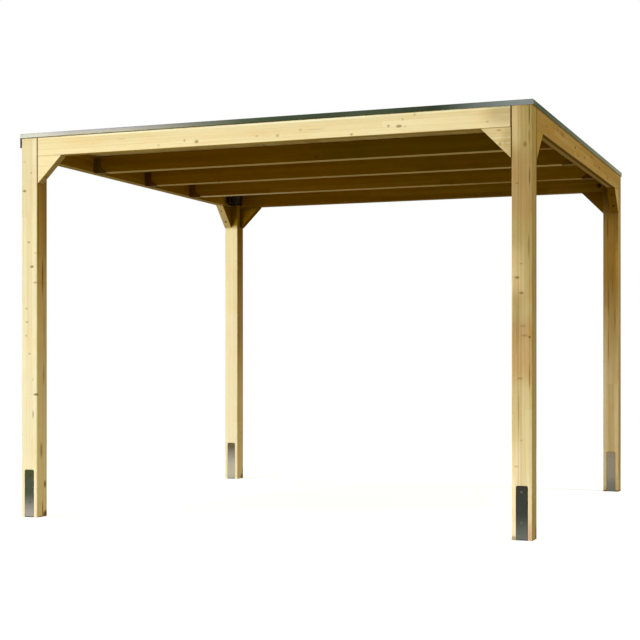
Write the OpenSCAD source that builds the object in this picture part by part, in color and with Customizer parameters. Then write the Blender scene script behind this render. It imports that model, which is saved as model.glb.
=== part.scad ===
// Garden pavilion with a flat roof: four square glulam posts on steel anchors,
// beams flush with the posts' outer faces, knee brackets, rafters in steel hangers,
// a boarded roof with a sheet, folded edge trims and a rain outlet in one corner.
// Millimetres. X runs across the front, Y from front to back and Z up from the ground.
// The origin is on the ground, in the middle of the plan.

/* [Overall size] */
// Width over the posts, left to right
width = 3265; // [2600:5:4200]
// Depth over the posts, front to back
depth = 3155; // [2400:5:4200]
// Height from the ground to the top of the roof edge
height = 2420; // [2200:5:2800]

/* [Posts] */
// Side of the square posts
post_w = 115; // [100:5:140]
// Chamfer on the long edges of the posts
post_chamfer = 4; // [1:0.5:8]

/* [Beams and rafters] */
// Height of the beams and rafters
beam_h = 115; // [90:5:180]
// Thickness of the four beams
beam_t = 60; // [40:5:80]
// Thickness of the rafters
rafter_t = 60; // [40:5:80]
// Chamfer on the long edges of the beams and rafters
beam_chamfer = 2.5; // [1:0.5:6]
// Chamfer round the ends of the beams, where they meet the posts
beam_end_chamfer = 4; // [1:0.5:8]

/* [Knee brackets] */
// Leg of the three-cornered knee brackets, along the beam and down the post
knee_leg = 170; // [100:5:300]
// Thickness of the knee brackets
knee_t = 60; // [30:5:80]
// Blunt end of the knee brackets' tips
knee_tip = 5; // [2:1:15]
// Diameter of the sunk holes for the knee brackets' screws
knee_screw_d = 16; // [10:1:20]
// Distance of a knee bracket's screw from its nearer tip
knee_screw_in = 44; // [25:1:80]
// Wood left between a screw's head and the post or the beam
knee_screw_wood = 22; // [10:1:40]

/* [Post anchors] */
// Height of the anchor plates above the ground
anchor_h = 300; // [150:5:400]
// Width of the anchors
anchor_w = 65; // [40:1:80]
// Thickness of the anchors' flat steel
anchor_t = 8; // [5:0.5:10]
// Radius of the plates' top corners
anchor_corner_r = 10; // [4:1:20]
// Gap between an anchor plate and the slot that it is let into
anchor_gap = 1.5; // [0.5:0.5:3]
// Diameter of the holes for the anchor bolts
anchor_hole_d = 11; // [8:1:14]
// Height of the lower anchor bolt above the ground
anchor_low_bolt = 98; // [60:1:110]
// Distance of the upper anchor bolt from the plate's top
anchor_top_bolt = 34; // [20:1:50]

/* [Rafter hangers] */
// Thickness of the hangers' folded steel
hanger_t = 2; // [1.5:0.5:4]
// Height of the hangers
hanger_h = 98; // [70:1:110]
// Depth of the hangers' seat, along the rafter
hanger_seat = 80; // [50:5:100]
// Depth of the hangers' cheeks at their top
hanger_top = 40; // [30:1:50]
// Height up to which the hangers' cheeks widen towards the seat
hanger_flare = 40; // [20:1:60]
// Height of the cheeks at the end of the seat
hanger_lip = 10; // [4:1:18]
// Width of the flanges on the beam's face
hanger_flange = 28; // [20:1:45]

/* [Roof] */
// Thickness of the roof boards
board_t = 19; // [16:1:21]
// Cover width of one roof board, before it is evened out over the roof
board_cover = 96; // [80:1:140]
// Depth of the V-joints between the boards, on the underside
board_vee = 4; // [2:0.5:6]
// Thickness of the roof sheet
sheet_t = 2; // [1:0.5:3]

/* [Roof edge trim] */
// Height of the trim's face
trim_h = 30; // [27:1:45]
// Thickness of the trim's folded metal
trim_t = 1.5; // [1:0.5:2]
// How far the trim's face stands out from the posts
trim_proud = 6; // [4:0.5:12]
// How far the drip edge stands out from the trim's face
trim_drip = 2; // [1:0.5:4]
// Width of the trim's raised bead, from the posts' face inwards
trim_bead = 12; // [6:1:20]
// Width of the whole trim on the roof, from the posts' face inwards
trim_flange = 35; // [30:1:35]
// How far the left trim's face reaches down over the posts and the beam
apron_drop = 57; // [20:1:80]

/* [Rain outlet] */
// Diameter of the spigot for a downpipe
outlet_d = 125; // [80:5:125]
// Wall of the outlet
outlet_wall = 3; // [2:0.5:5]
// Diameter of the outlet's neck, through the boards
outlet_neck_d = 112; // [70:2:112]
// Length of the spigot below the boards, its shoulder included
outlet_drop = 107; // [60:1:140]
// Width of the outlet's flange on the sheet
outlet_flange = 26; // [15:1:26]
// Thickness of the outlet's flange
outlet_flange_t = 3; // [2:0.5:5]
// Gap between the spigot and the left beam
outlet_side_gap = 10; // [8:1:40]
// Gap between the spigot and the back left post, along Y
outlet_post_gap = 25; // [10:1:60]
// Gap between the neck and the holes in the boards and the sheet
outlet_clear = 2; // [1:0.5:4]

/* [Hidden] */
$fn = 64;
rafter_count = 3;
roof_z = height - trim_h;                 // underside of the boards, top of the wood frame
beam_z = roof_z - beam_h;                 // underside of the beams, rafters and hangers
half_w = width / 2;
half_d = depth / 2;
post_x = half_w - post_w / 2;             // middle of a post
post_y = half_d - post_w / 2;
inner_x = half_w - post_w;                // inner faces of the posts
inner_y = half_d - post_w;
beam_in_x = half_w - beam_t;              // inner faces of the side beams
rafter_pitch = 2 * inner_y / (rafter_count + 1);
deck_over = trim_proud - trim_t;          // the boards reach out to the back of the trim
deck_w = width + 2 * deck_over;
deck_d = depth + 2 * deck_over;
board_count = round(deck_w / board_cover);
board_w = deck_w / board_count;
sheet_z = roof_z + board_t;
outlet_z = sheet_z + sheet_t;             // top of the sheet, where the outlet's flange lies
outlet_x = -beam_in_x + outlet_side_gap + outlet_d / 2;
outlet_y = inner_y - outlet_post_gap - outlet_d / 2;
outlet_shoulder = (outlet_d - outlet_neck_d) / 2;
anchor_bolts = [anchor_low_bolt, anchor_h - anchor_top_bolt];

// A square or oblong with its four corners cut off
module chamfered(w, h, c) {
    x = w / 2;
    y = h / 2;
    polygon([[-x + c, -y], [x - c, -y], [x, -y + c], [x, y - c],
             [x - c, y], [-x + c, y], [-x, y - c], [-x, -y + c]]);
}

// An upright plate's outline with two round top corners, standing on the X axis
module plate_outline(w, h, r) {
    translate([-w / 2, 0]) square([w, h - r]);
    translate([-w / 2 + r, 0]) square([w - 2 * r, h]);
    for (side = [-1, 1]) translate([side * (w / 2 - r), h - r]) circle(r);
}

// Sawn and planed timber along X, centred in X and Y, with its underside at Z = 0
module timber(length, t, h, c) {
    translate([0, 0, h / 2]) rotate([90, 0, 90])
        linear_extrude(height = length, center = true) chamfered(t, h, c);
}

// A timber whose end faces have chamfers of their own on all four edges
module beam(length) {
    intersection() {
        timber(length, beam_t, beam_h, beam_chamfer);
        linear_extrude(height = beam_h) chamfered(length, beam_t, beam_end_chamfer);
        translate([0, 0, beam_h / 2]) rotate([90, 0, 0])
            linear_extrude(height = beam_t, center = true)
                chamfered(length, beam_h, beam_end_chamfer);
    }
}

module anchor_bolt_holes(d, length) {
    for (z = anchor_bolts) translate([0, 0, z])
        rotate([90, 0, 0]) cylinder(d = d, h = length, center = true);
}

// A post with slots for the anchor's plates in its front and back faces, and a groove
// for the anchor's web across its foot
module post(sx, sy) {
    slot_w = anchor_w + 2 * anchor_gap;
    slot_h = anchor_h + anchor_gap;
    color("burlywood") translate([sx * post_x, sy * post_y, 0]) difference() {
        linear_extrude(height = roof_z) chamfered(post_w, post_w, post_chamfer);
        cube([slot_w, post_w + 1, 2 * anchor_t], center = true);
        for (side = [-1, 1]) translate([0, side * post_w / 2, 0])
            rotate([90, 0, 0]) linear_extrude(height = 2 * anchor_t, center = true)
                plate_outline(slot_w, slot_h, anchor_corner_r + anchor_gap);
        anchor_bolt_holes(anchor_hole_d, post_w);
    }
}

// A U of flat steel: a web under the post and two plates let in flush with its faces
module anchor(sx, sy) {
    color("slategray") translate([sx * post_x, sy * post_y, 0]) difference() {
        intersection() {
            rotate([90, 0, 90]) linear_extrude(height = anchor_w, center = true) anchor_fold();
            rotate([90, 0, 0]) linear_extrude(height = post_w, center = true)
                plate_outline(anchor_w, anchor_h, anchor_corner_r);
        }
        anchor_bolt_holes(anchor_hole_d, post_w + 1);
    }
}

// The anchor's section across the post, its outer bends as round as the steel is thick
module anchor_fold() {
    y = post_w / 2;
    translate([-y + anchor_t, 0]) square([post_w - 2 * anchor_t, anchor_t]);
    for (side = [-1, 1]) {
        translate([side * (y - anchor_t / 2), anchor_h / 2 + anchor_t / 2])
            square([anchor_t, anchor_h - anchor_t], center = true);
        intersection() {
            translate([side * (y - anchor_t), anchor_t]) circle(anchor_t);
            translate([side * (y - anchor_t / 2), anchor_t / 2])
                square(anchor_t, center = true);
        }
    }
}

module cross_beam(sy) {
    color("burlywood") translate([0, sy * (half_d - beam_t / 2), beam_z])
        beam(2 * inner_x);
}

module side_beam(sx) {
    color("burlywood") translate([sx * (half_w - beam_t / 2), 0, beam_z]) rotate([0, 0, 90])
        beam(2 * inner_y);
}

// A knee bracket in the XZ plane, its square corner at the origin, running to +X and down,
// with one screw sunk into it towards the post and one towards the beam
module knee() {
    screw = knee_leg - knee_screw_in;
    difference() {
        rotate([90, 0, 0]) linear_extrude(height = knee_t, center = true)
            polygon([[0, 0], [knee_leg, 0], [knee_leg, -knee_tip],
                     [knee_tip, -knee_leg], [0, -knee_leg]]);
        translate([knee_screw_wood, 0, -screw]) rotate([0, 90, 0])
            cylinder(d = knee_screw_d, h = knee_leg);
        translate([screw, 0, -knee_screw_wood - knee_leg])
            cylinder(d = knee_screw_d, h = knee_leg);
    }
}

// Under the front or back beam, against the post on side sx
module cross_knee(sx, sy) {
    color("burlywood") translate([sx * inner_x, sy * (half_d - knee_t / 2), beam_z])
        rotate([0, 0, sx > 0 ? 180 : 0]) knee();
}

// Under a side beam, against the post on side sy
module side_knee(sx, sy) {
    color("burlywood") translate([sx * (half_w - knee_t / 2), sy * inner_y, beam_z])
        rotate([0, 0, -sy * 90]) knee();
}

function rafter_y(i) = -inner_y + (i + 1) * rafter_pitch;

module rafter(i) {
    color("burlywood") translate([0, rafter_y(i), beam_z])
        timber(2 * beam_in_x, rafter_t, beam_h, beam_chamfer);
}

// A folded hanger: a seat and two tapered cheeks round the rafter, two flanges on the beam
module hanger(i, sx) {
    cheek = [[0, 0], [hanger_seat, 0], [hanger_seat, hanger_lip],
             [hanger_top, hanger_flare], [hanger_top, hanger_h], [0, hanger_h]];
    color("dimgray") translate([sx * beam_in_x, rafter_y(i), beam_z - hanger_t])
        rotate([0, 0, sx > 0 ? 180 : 0]) {
            translate([0, -rafter_t / 2 - hanger_t, 0])
                cube([hanger_seat, rafter_t + 2 * hanger_t, hanger_t]);
            for (side = [-1, 1]) {
                translate([0, side * (rafter_t / 2 + hanger_t / 2), 0]) rotate([90, 0, 0])
                    linear_extrude(height = hanger_t, center = true) polygon(cheek);
                translate([hanger_t / 2, side * (rafter_t / 2 + hanger_t + hanger_flange / 2),
                           hanger_h / 2])
                    cube([hanger_t, hanger_flange, hanger_h], center = true);
            }
        }
}

// The boards' section: a plate with a V-joint between every two boards, open downwards
module board_section() {
    x = deck_w / 2;
    vees = [for (i = [1 : board_count - 1]) for (p = [-1, 0, 1])
        [-x + i * board_w + p * board_vee, p == 0 ? board_vee : 0]];
    polygon(concat([[-x, 0]], vees, [[x, 0], [x, board_t], [-x, board_t]]));
}

module outlet_hole(z, t) {
    translate([outlet_x, outlet_y, z - 1])
        cylinder(d = outlet_neck_d + 2 * outlet_clear, h = t + 2);
}

module roof_boards() {
    color("tan") difference() {
        translate([0, 0, roof_z]) rotate([90, 0, 0])
            linear_extrude(height = deck_d, center = true) board_section();
        outlet_hole(roof_z, board_t);
    }
}

module roof_sheet() {
    color("darkslategray") difference() {
        translate([-deck_w / 2, -deck_d / 2, sheet_z]) cube([deck_w, deck_d, sheet_t]);
        outlet_hole(sheet_z, sheet_t);
    }
}

// A turned form: flange on the sheet, neck through the boards, shoulder and spigot below
module rain_outlet() {
    neck = outlet_neck_d / 2;
    spigot = outlet_d / 2;
    bottom = roof_z - outlet_drop;
    shoulder_z = roof_z - outlet_wall;
    color("black") translate([outlet_x, outlet_y, 0]) rotate_extrude()
        polygon([
            [neck - outlet_wall, outlet_z + outlet_flange_t],
            [spigot + outlet_flange, outlet_z + outlet_flange_t],
            [spigot + outlet_flange, outlet_z],
            [neck, outlet_z],
            [neck, shoulder_z],
            [spigot, shoulder_z - outlet_shoulder],
            [spigot, bottom],
            [spigot - outlet_wall, bottom],
            [spigot - outlet_wall, shoulder_z - outlet_shoulder - outlet_wall],
            [neck - outlet_wall, shoulder_z - outlet_wall]
        ]);
}

// The trim's folded section: X outwards from the posts' face, Y up from the boards' underside
module trim_section(drop) {
    back = trim_proud - trim_t;
    lie = board_t + sheet_t;
    polygon([
        [back, -drop],
        [trim_proud + trim_drip, -drop],
        [trim_proud, -drop + 2 * trim_drip],
        [trim_proud, trim_h - trim_t],
        [back, trim_h],
        [-trim_bead, trim_h],
        [-trim_bead - trim_t, trim_h - trim_t],
        [-trim_bead - trim_t, lie + trim_t],
        [-trim_flange, lie + trim_t],
        [-trim_flange, lie],
        [-trim_bead, lie],
        [-trim_bead, trim_h - trim_t],
        [back, trim_h - trim_t]
    ]);
}

// A length of trim along the front, its ends mitred, with the posts' face at Y = 0
module trim(run, drop) {
    out = trim_proud + trim_drip;
    far = run / 2 + out;
    near = run / 2 - trim_flange;
    color("darkgray") translate([0, 0, roof_z]) intersection() {
        rotate([90, 0, -90]) linear_extrude(height = 2 * far, center = true)
            trim_section(drop);
        translate([0, 0, -drop]) linear_extrude(height = trim_h + drop)
            polygon([[-far, -out], [far, -out], [near, trim_flange], [-near, trim_flange]]);
    }
}

post(-1, -1);  // post_front_left
post(1, -1);  // post_front_right
post(-1, 1);  // post_back_left
post(1, 1);  // post_back_right
anchor(-1, -1);  // anchor_front_left
anchor(1, -1);  // anchor_front_right
anchor(-1, 1);  // anchor_back_left
anchor(1, 1);  // anchor_back_right
cross_beam(-1);  // beam_front
cross_beam(1);  // beam_back
side_beam(-1);  // beam_left
side_beam(1);  // beam_right
cross_knee(-1, -1);  // knee_front_left
cross_knee(1, -1);  // knee_front_right
cross_knee(-1, 1);  // knee_back_left
cross_knee(1, 1);  // knee_back_right
side_knee(-1, -1);  // knee_left_front
side_knee(-1, 1);  // knee_left_back
side_knee(1, -1);  // knee_right_front
side_knee(1, 1);  // knee_right_back
rafter(0);  // rafter_front
rafter(1);  // rafter_middle
rafter(2);  // rafter_back
hanger(0, -1);  // hanger_front_left
hanger(0, 1);  // hanger_front_right
hanger(1, -1);  // hanger_middle_left
hanger(1, 1);  // hanger_middle_right
hanger(2, -1);  // hanger_back_left
hanger(2, 1);  // hanger_back_right
roof_boards();
roof_sheet();
rain_outlet();
translate([0, -half_d, 0]) trim(width, 0);  // trim_front
rotate([0, 0, 180]) translate([0, -half_d, 0]) trim(width, 0);  // trim_back
rotate([0, 0, -90]) translate([0, -half_w, 0]) trim(depth, apron_drop);  // trim_left
rotate([0, 0, 90]) translate([0, -half_w, 0]) trim(depth, 0);  // trim_right
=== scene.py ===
"""Finishes the garden pavilion: the grain, knots and glue lines of its timber, the looks of its
steel, sheet metal, rubber and plastic, and the bolts, nails, screws and seams on them.

Metres, in the part's own frame: X across the front, Y from front to back, Z up.
"""
import math
import random

import bmesh
import bpy
from mathutils import Matrix, Vector


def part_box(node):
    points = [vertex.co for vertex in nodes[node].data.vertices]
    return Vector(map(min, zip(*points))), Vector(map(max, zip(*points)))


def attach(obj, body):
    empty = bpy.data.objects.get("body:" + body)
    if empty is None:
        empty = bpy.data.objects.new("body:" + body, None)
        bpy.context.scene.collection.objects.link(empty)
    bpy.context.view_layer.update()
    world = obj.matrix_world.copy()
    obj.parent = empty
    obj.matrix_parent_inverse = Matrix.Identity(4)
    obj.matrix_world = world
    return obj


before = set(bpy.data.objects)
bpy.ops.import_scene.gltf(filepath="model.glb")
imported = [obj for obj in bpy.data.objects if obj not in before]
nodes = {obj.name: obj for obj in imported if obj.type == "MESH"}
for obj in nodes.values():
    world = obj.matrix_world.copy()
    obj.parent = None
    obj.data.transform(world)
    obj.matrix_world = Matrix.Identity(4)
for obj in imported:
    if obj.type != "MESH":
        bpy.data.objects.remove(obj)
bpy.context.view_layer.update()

MM = 0.001
X, Y, Z = 0, 1, 2
SIDES = ("front", "back", "left", "right")
chance = random.Random(7)

# Camera and studio
CAMERA_PLACE = (3.2353, -8.9880, 0.9846)
CAMERA_TURN = math.radians(21.01)
CAMERA_LENS = 77.07
CAMERA_RISE = 0.0644
CAMERA_WIDTH = 36.0
CAMERA_REACH = 200.0
FLOOR_RADIUS = 60.0
FLOOR_CLEAR = 4.0
FLOOR_WHITE = 9.0

# Timber: its layers, the boards in them and its growth rings
LAMELLAS = 3
BOARD_LENGTH = 1.35
BOARD_COVER = 96 * MM
WHOLE_LENGTH = 30.0
FINGER_LENGTH = 15 * MM
FINGER_PITCH = 7.6 * MM
RING = 3.4 * MM
RING_WANDER = 30 * MM
RING_BULGE = 6 * MM
RING_TAPER = 0.006
LATE_POWER = 2.5
PITH_LEAST = 22 * MM
PITH_SPREAD = 45 * MM
PITH_ASIDE = 50 * MM
LEVEL_INSET = 0.9995

# Knots that come by chance: cells across and along the grain, and their size within a cell
KNOT_ACROSS = 6.5
KNOT_ALONG = 10.5
KNOT_LEAST = 0.034
KNOT_SPREAD = 0.045
KNOT_EDGE = (0.82, 1.02)
KNOT_RIM = (0.02, 0.16)
MARK_EDGE = (0.40, 1.45)

# Noise drawn out along the grain: how fine across and along it, its detail and its roughness
WANDER = (5.0, 0.9, 2.0, 0.45)
STREAK = (55.0, 1.3, 2.0, 0.6)
FIBRE = (520.0, 9.0, 1.0, 0.5)
FLECK = (150.0, 10.0, 1.0, 0.5)
CLOUD = (4.0, 1.7, 2.0, 0.5)
BLUSHES = (16.0, 5.0, 3.0, 0.6)

# How amber the wood is, and how much more its rings, streaks, fibres, flecks and boards make it
AMBER_ALL = 0.16
AMBER_LATE = 0.14
AMBER_GROWTH = 0.30
AMBER_STREAK = 0.35
AMBER_FIGURE = 0.4
AMBER_FIBRE = 0.22
AMBER_FLECK = 0.12
AMBER_BOARD = 2.2

# Single faces, their stripes, and the joints against other timbers
FACE_DEEP = 3.5 * MM
FACE_NEAR = 0.5 * MM
AHEAD = (Y, -1, X)
RIGHT = (X, 1, Y)
UNDER = (Z, -1, X)
# OUTER is the plain tone of an outer face, left without the painted shade of the rest of its piece.
OUTER = (0.1, 0.1, 0.0)
CHEEK_SPAN = (-0.8, 1.0)
WASH_MIDDLE = 57
WASH_HALF = 150
EVERYWHERE = 9999
SPAN_BLUR = 60 * MM
GLUE = 0.35 * MM
SEAM = 6 * MM
SEAM_DEPTH = 0.97
KNEE_JOINT = 0.5

# Fixings: sides, radius, height, the rounding of the top edge and its steps
HEX_HEAD = (6, 9.24 * MM, 6.4 * MM, 0.9 * MM, 2)
ROUND_HEAD = (24, 8.0 * MM, 2.0 * MM, 1.2 * MM, 3)
WASHER = (28, 11.5 * MM, 1.6 * MM, 0.3 * MM, 1)
BOLT_END = (20, 5.0 * MM, 11.0 * MM, 0.8 * MM, 2)
NAIL_HEAD = (12, 4.2 * MM, 1.1 * MM, 0.35 * MM, 1)
SCREW_HEAD = (20, 7.2 * MM, 3.0 * MM, 0.8 * MM, 2)
DRIVE_EDGE = 3.6 * MM
DRIVE_DEPTH = 1.8 * MM

# Where the fixings sit
BOLT_LOW = 98 * MM
BOLT_TOP = 34 * MM
SCREW_IN = 44 * MM
SCREW_WOOD = 22 * MM
HANGER_SHEET = 2 * MM
FLANGE_NAIL = 12 * MM
FLANGE_HEIGHTS = (0.18, 0.42, 0.66, 0.90)
CHEEK_IN = 28 * MM
CHEEK_NAILS = ((14 * MM, 0.25), (32 * MM, 0.50), (14 * MM, 0.80))
TRIM_PITCH = 0.3
TRIM_CLEAR = 0.09
TRIM_NAIL = 12 * MM
TRIM_SHEET = 1.5 * MM

# Roof
TRIM_CORNER = (-1.575, -1.55)
LAP_HALF = 20 * MM
LAP_CLEAR = 33 * MM
LAP_THICK = 1.2 * MM
LAP_SUNK = 0.5 * MM
GRATE_RADIUS = 52.5 * MM
GRATE_SUNK = 2 * MM
GRATE_RIM = 4 * MM
GRATE_PITCH = 13 * MM
GRATE_BARS = 7
BAR_HALF = 2 * MM
BAR_LOW = 3.6 * MM
BAR_HIGH = 0.4 * MM
BAR_EDGE = 0.6 * MM


def rgb(red, green, blue):
    """A colour written from 0 to 255, as the linear values that a socket holds."""
    def linear(value):
        share = value / 255
        return share / 12.92 if share <= 0.04045 else ((share + 0.055) / 1.055) ** 2.4
    return (linear(red), linear(green), linear(blue), 1.0)


# The wood's colours from pale to dark. HONEY, UMBER and DEEP stand for darker wood. On pieces under the
# roof and on faces turned from the light, the darkening towards them is painted shade. DEEP also
# darkens the joints.
PALE = rgb(243, 231, 187)
AMBER = rgb(210, 182, 106)
HONEY = rgb(154, 118, 6)
UMBER = rgb(110, 75, 0)
DEEP = rgb(84, 60, 2)
BLUSH = (1.0, 0.90, 0.80, 1.0)
SHEEN = (1.0, 0.76, 0.36, 1.0)
KNOT = rgb(112, 72, 34)
# The brown of the listed marks: knots, streaks and spots of painted shade.
KNOT_AND_SHADE_BROWN = rgb(108, 86, 46)
BARK = rgb(62, 40, 22)


class Field:
    """A number that varies over a surface. Arithmetic on it adds Math nodes to its tree."""

    def __init__(self, socket):
        self.socket = socket

    @staticmethod
    def math(operation, *terms):
        tree = next(term for term in terms if isinstance(term, Field)).socket.id_data
        node = tree.nodes.new("ShaderNodeMath")
        node.operation = operation
        for place, term in enumerate(terms):
            if isinstance(term, Field):
                tree.links.new(term.socket, node.inputs[place])
            else:
                node.inputs[place].default_value = term
        return Field(node.outputs["Value"])

    def __add__(self, other):
        return Field.math("ADD", self, other)

    def __radd__(self, other):
        return Field.math("ADD", other, self)

    def __sub__(self, other):
        return Field.math("SUBTRACT", self, other)

    def __rsub__(self, other):
        return Field.math("SUBTRACT", other, self)

    def __mul__(self, other):
        return Field.math("MULTIPLY", self, other)

    def __rmul__(self, other):
        return Field.math("MULTIPLY", other, self)

    def __truediv__(self, other):
        return Field.math("DIVIDE", self, other)

    def __rtruediv__(self, other):
        return Field.math("DIVIDE", other, self)

    def __pow__(self, other):
        return Field.math("POWER", self, other)

    def floor(self):
        return Field.math("FLOOR", self)

    def fract(self):
        return Field.math("FRACT", self)

    def size(self):
        return Field.math("ABSOLUTE", self)

    def sign(self):
        return Field.math("SIGN", self)

    def root(self):
        return Field.math("SQRT", self)

    def least(self, other):
        return Field.math("MINIMUM", self, other)

    def most(self, other):
        return Field.math("MAXIMUM", self, other)

    def held(self):
        """The same number, kept from 0 to 1."""
        return self.most(0.0).least(1.0)

    def rise(self, low, high):
        """0 below low, 1 above high and a smooth step between."""
        share = ((self - low) / (high - low)).held()
        return share * share * (3.0 - 2.0 * share)

    def fall(self, low, high):
        return 1.0 - self.rise(low, high)


class Sheet:
    """A node tree that is being filled in."""

    def __init__(self, tree):
        self.tree = tree

    def put(self, socket, value):
        if isinstance(value, Field):
            value = value.socket
        if isinstance(value, bpy.types.NodeSocket):
            self.tree.links.new(value, socket)
        else:
            socket.default_value = value

    def add(self, kind, settings=None, values=None):
        """A node of a kind, its settings and then its sockets."""
        node = self.tree.nodes.new("ShaderNode" + kind)
        for name, setting in (settings or {}).items():
            setattr(node, name, setting)
        for name, value in (values or {}).items():
            self.put(node.inputs[name], value)
        return node


class Finish(Sheet):
    """A material on the shader's own sockets, with nodes for what varies."""

    def __init__(self, name, **constants):
        self.material = bpy.data.materials.new(name)
        self.material.use_nodes = True
        super().__init__(self.material.node_tree)
        self.shader = self.tree.nodes["Principled BSDF"]
        for socket, value in constants.items():
            self.shader.inputs[socket.replace("_", " ")].default_value = value
        self.place = self.add("TexCoord").outputs["Object"]

    def axes(self, centre=(0, 0, 0)):
        """The place on the piece, from a centre, as three fields."""
        shifted = self.add("VectorMath", {"operation": "SUBTRACT"}, {0: self.place, 1: tuple(centre)})
        parts = self.add("SeparateXYZ", None, {0: shifted.outputs[0]})
        return [Field(parts.outputs[axis]) for axis in (X, Y, Z)]

    def point(self, x, y, z):
        return self.add("CombineXYZ", None, {0: x, 1: y, 2: z}).outputs[0]

    def noise(self, point, scale, detail=2.0, roughness=0.5):
        node = self.add("TexNoise", None, {
            "Vector": point, "Scale": scale, "Detail": detail, "Roughness": roughness,
        })
        return Field(node.outputs["Fac"])

    def draws(self, number):
        """Three numbers from 0 to 1 that belong to a whole number."""
        node = self.add("TexWhiteNoise", {"noise_dimensions": "1D"}, {"W": number})
        parts = self.add("SeparateColor", None, {0: node.outputs["Color"]})
        return [Field(parts.outputs[part]) for part in range(3)]

    def blend(self, share, one, other, kind="MIX"):
        node = self.add(
            "Mix", {"data_type": "RGBA", "blend_type": kind, "clamp_factor": True},
            {0: share, 6: one, 7: other},
        )
        return node.outputs[2]

    def finish(self, colour, roughness, height, distance):
        """Links the colour, the roughness and the bump, and gives back the material."""
        bump = self.add("Bump", None, {"Height": height, "Distance": distance, "Strength": 1.0})
        self.put(self.shader.inputs["Base Color"], colour)
        self.put(self.shader.inputs["Roughness"], roughness)
        self.put(self.shader.inputs["Normal"], bump.outputs["Normal"])
        return self.material


# ---- Timber ----

def dress(name, material):
    """Puts a material on a CAD node's slots."""
    mesh = nodes[name].data
    mesh.materials.clear()
    mesh.materials.append(material)


def along_of(name):
    """The axis along which a knee or a trim runs, from the side that its name gives."""
    return X if name.split("_")[1] in ("front", "back") else Y


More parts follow.
